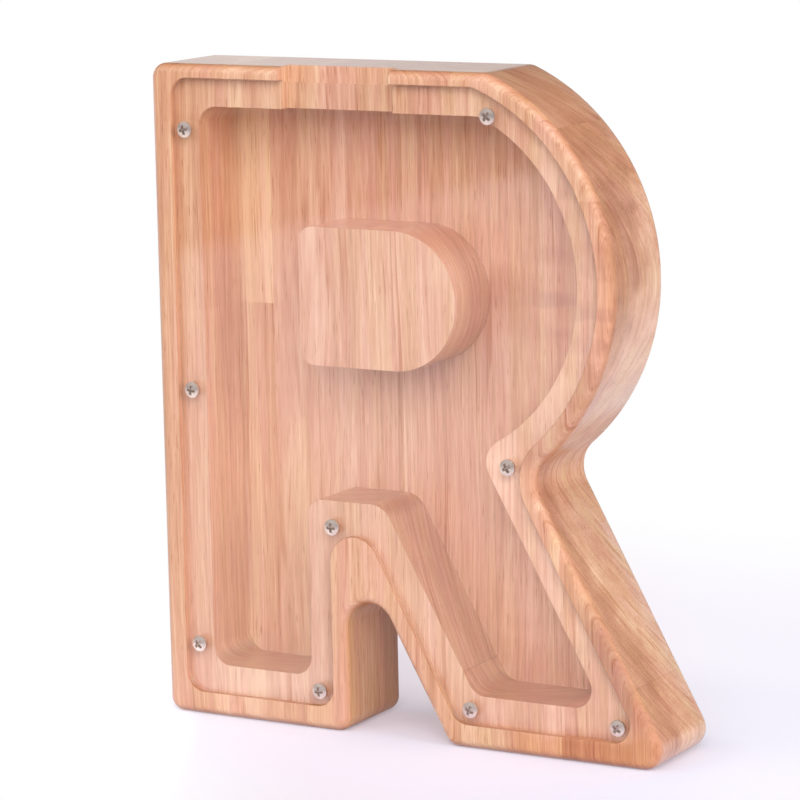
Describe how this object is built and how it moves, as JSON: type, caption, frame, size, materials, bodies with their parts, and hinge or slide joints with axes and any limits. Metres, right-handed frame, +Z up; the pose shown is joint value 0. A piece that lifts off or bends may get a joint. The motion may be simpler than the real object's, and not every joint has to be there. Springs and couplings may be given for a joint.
{
  "type": "wooden money box",
  "caption": "Free-standing money box cut from wood as a thick capital letter, with a hollow for coins behind a clear screwed-on cover and a coin slot in the top edge.",
  "frame": {"origin": "on the ground plane, under the middle of the box's width and depth", "axes": "+Z up, -Y out of the front with the clear cover, +X to the right as the letter is read"},
  "size_m": [0.1854, 0.0373, 0.22],
  "materials": {
    "wood": "sanded, glued-up hardwood with a thin clear satin varnish",
    "clear_cover": "clear polished acrylic sheet",
    "screw_steel": "zinc-plated steel, satin"
  },
  "bodies": {
    "block": {"stave_left_upper": "wood", "stave_left_lower": "wood", "stave_stem": "wood", "stave_arch": "wood", "stave_centre": "wood", "stave_bowl_inner": "wood", "stave_bowl_upper": "wood", "stave_bowl_lower": "wood", "stave_leg": "wood", "stave_toe": "wood"},
    "cover": {"cover": "clear_cover"},
    "screw_head_left": {"screw_head_left": "screw_steel"},
    "screw_crown": {"screw_crown": "screw_steel"},
    "screw_side": {"screw_side": "screw_steel"},
    "screw_notch": {"screw_notch": "screw_steel"},
    "screw_crotch": {"screw_crotch": "screw_steel"},
    "screw_stem_left": {"screw_stem_left": "screw_steel"},
    "screw_stem_right": {"screw_stem_right": "screw_steel"},
    "screw_heel": {"screw_heel": "screw_steel"},
    "screw_toe": {"screw_toe": "screw_steel"}
  },
  "joints": [
    {"name": "cover_lift", "type": "slide", "parent": "block", "child": "cover", "axis": [0, -1, 0], "range_m": [0, 0.03]},
    {"name": "screw_head_left_out", "type": "slide", "parent": "cover", "child": "screw_head_left", "axis": [0, -1, 0], "range_m": [0, 0.014]},
    {"name": "screw_crown_out", "type": "slide", "parent": "cover", "child": "screw_crown", "axis": [0, -1, 0], "range_m": [0, 0.014]},
    {"name": "screw_side_out", "type": "slide", "parent": "cover", "child": "screw_side", "axis": [0, -1, 0], "range_m": [0, 0.014]},
    {"name": "screw_notch_out", "type": "slide", "parent": "cover", "child": "screw_notch", "axis": [0, -1, 0], "range_m": [0, 0.014]},
    {"name": "screw_crotch_out", "type": "slide", "parent": "cover", "child": "screw_crotch", "axis": [0, -1, 0], "range_m": [0, 0.014]},
    {"name": "screw_stem_left_out", "type": "slide", "parent": "cover", "child": "screw_stem_left", "axis": [0, -1, 0], "range_m": [0, 0.014]},
    {"name": "screw_stem_right_out", "type": "slide", "parent": "cover", "child": "screw_stem_right", "axis": [0, -1, 0], "range_m": [0, 0.014]},
    {"name": "screw_heel_out", "type": "slide", "parent": "cover", "child": "screw_heel", "axis": [0, -1, 0], "range_m": [0, 0.014]},
    {"name": "screw_toe_out", "type": "slide", "parent": "cover", "child": "screw_toe", "axis": [0, -1, 0], "range_m": [0, 0.014]}
  ]
}
